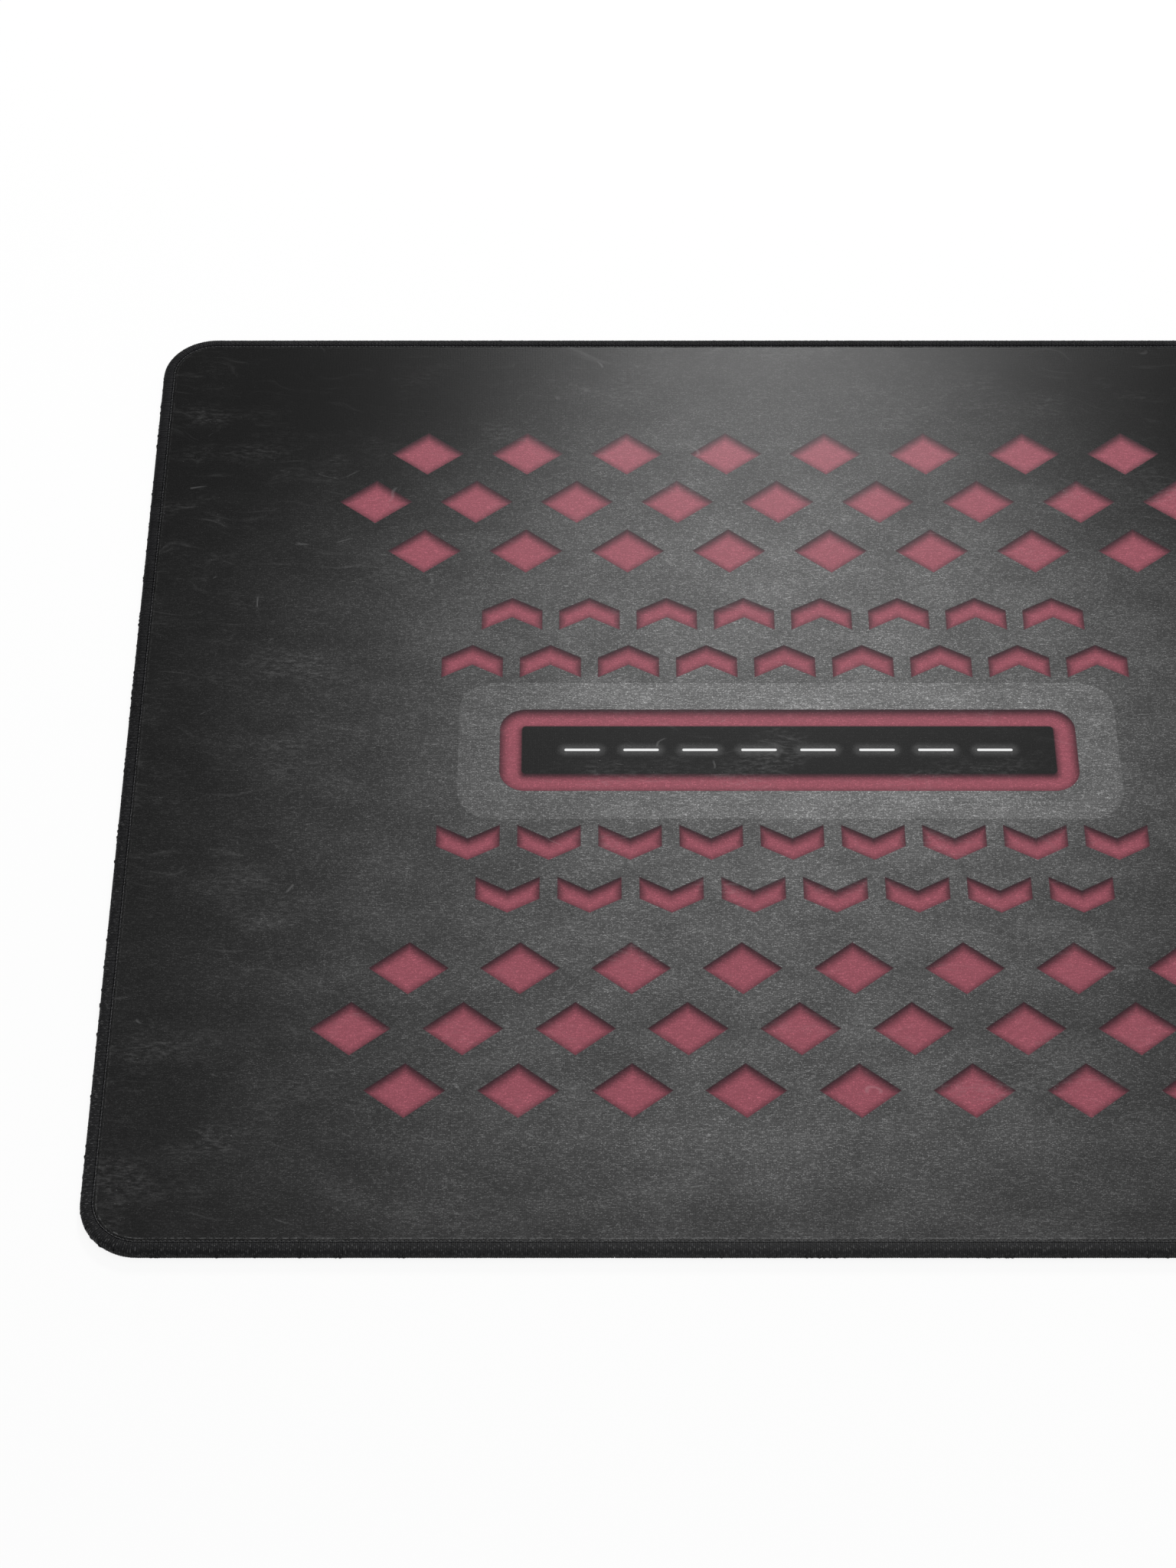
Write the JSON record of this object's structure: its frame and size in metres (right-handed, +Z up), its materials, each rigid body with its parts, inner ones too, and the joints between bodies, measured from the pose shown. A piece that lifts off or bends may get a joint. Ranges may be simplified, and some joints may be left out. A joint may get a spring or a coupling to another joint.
{
  "type": "mouse pad",
  "caption": "Flat rectangular desk mouse pad with round corners: printed face cloth bonded to a non-slip foam-rubber base, with a stitched overlock edge all round.",
  "frame": {"origin": "middle of the underside, on the surface that the pad lies on", "axes": "+X along the long side, to the user's right; +Y along the short side, away from the user; +Z up, out of the cloth face"},
  "size_m": [0.45, 0.4, 0.004],
  "materials": {
    "foam_rubber": "matte",
    "hot_melt_film": "satin",
    "printed_cloth": "matte",
    "needle_yarn": "satin",
    "upper_looper_yarn": "satin",
    "lower_looper_yarn": "satin"
  },
  "bodies": {
    "root": {"rubber_base": "foam_rubber", "bonding_film": "hot_melt_film", "face_cloth": "printed_cloth", "needle_thread": "needle_yarn", "upper_looper_thread": "upper_looper_yarn", "lower_looper_thread": "lower_looper_yarn"}
  },
  "joints": []
}
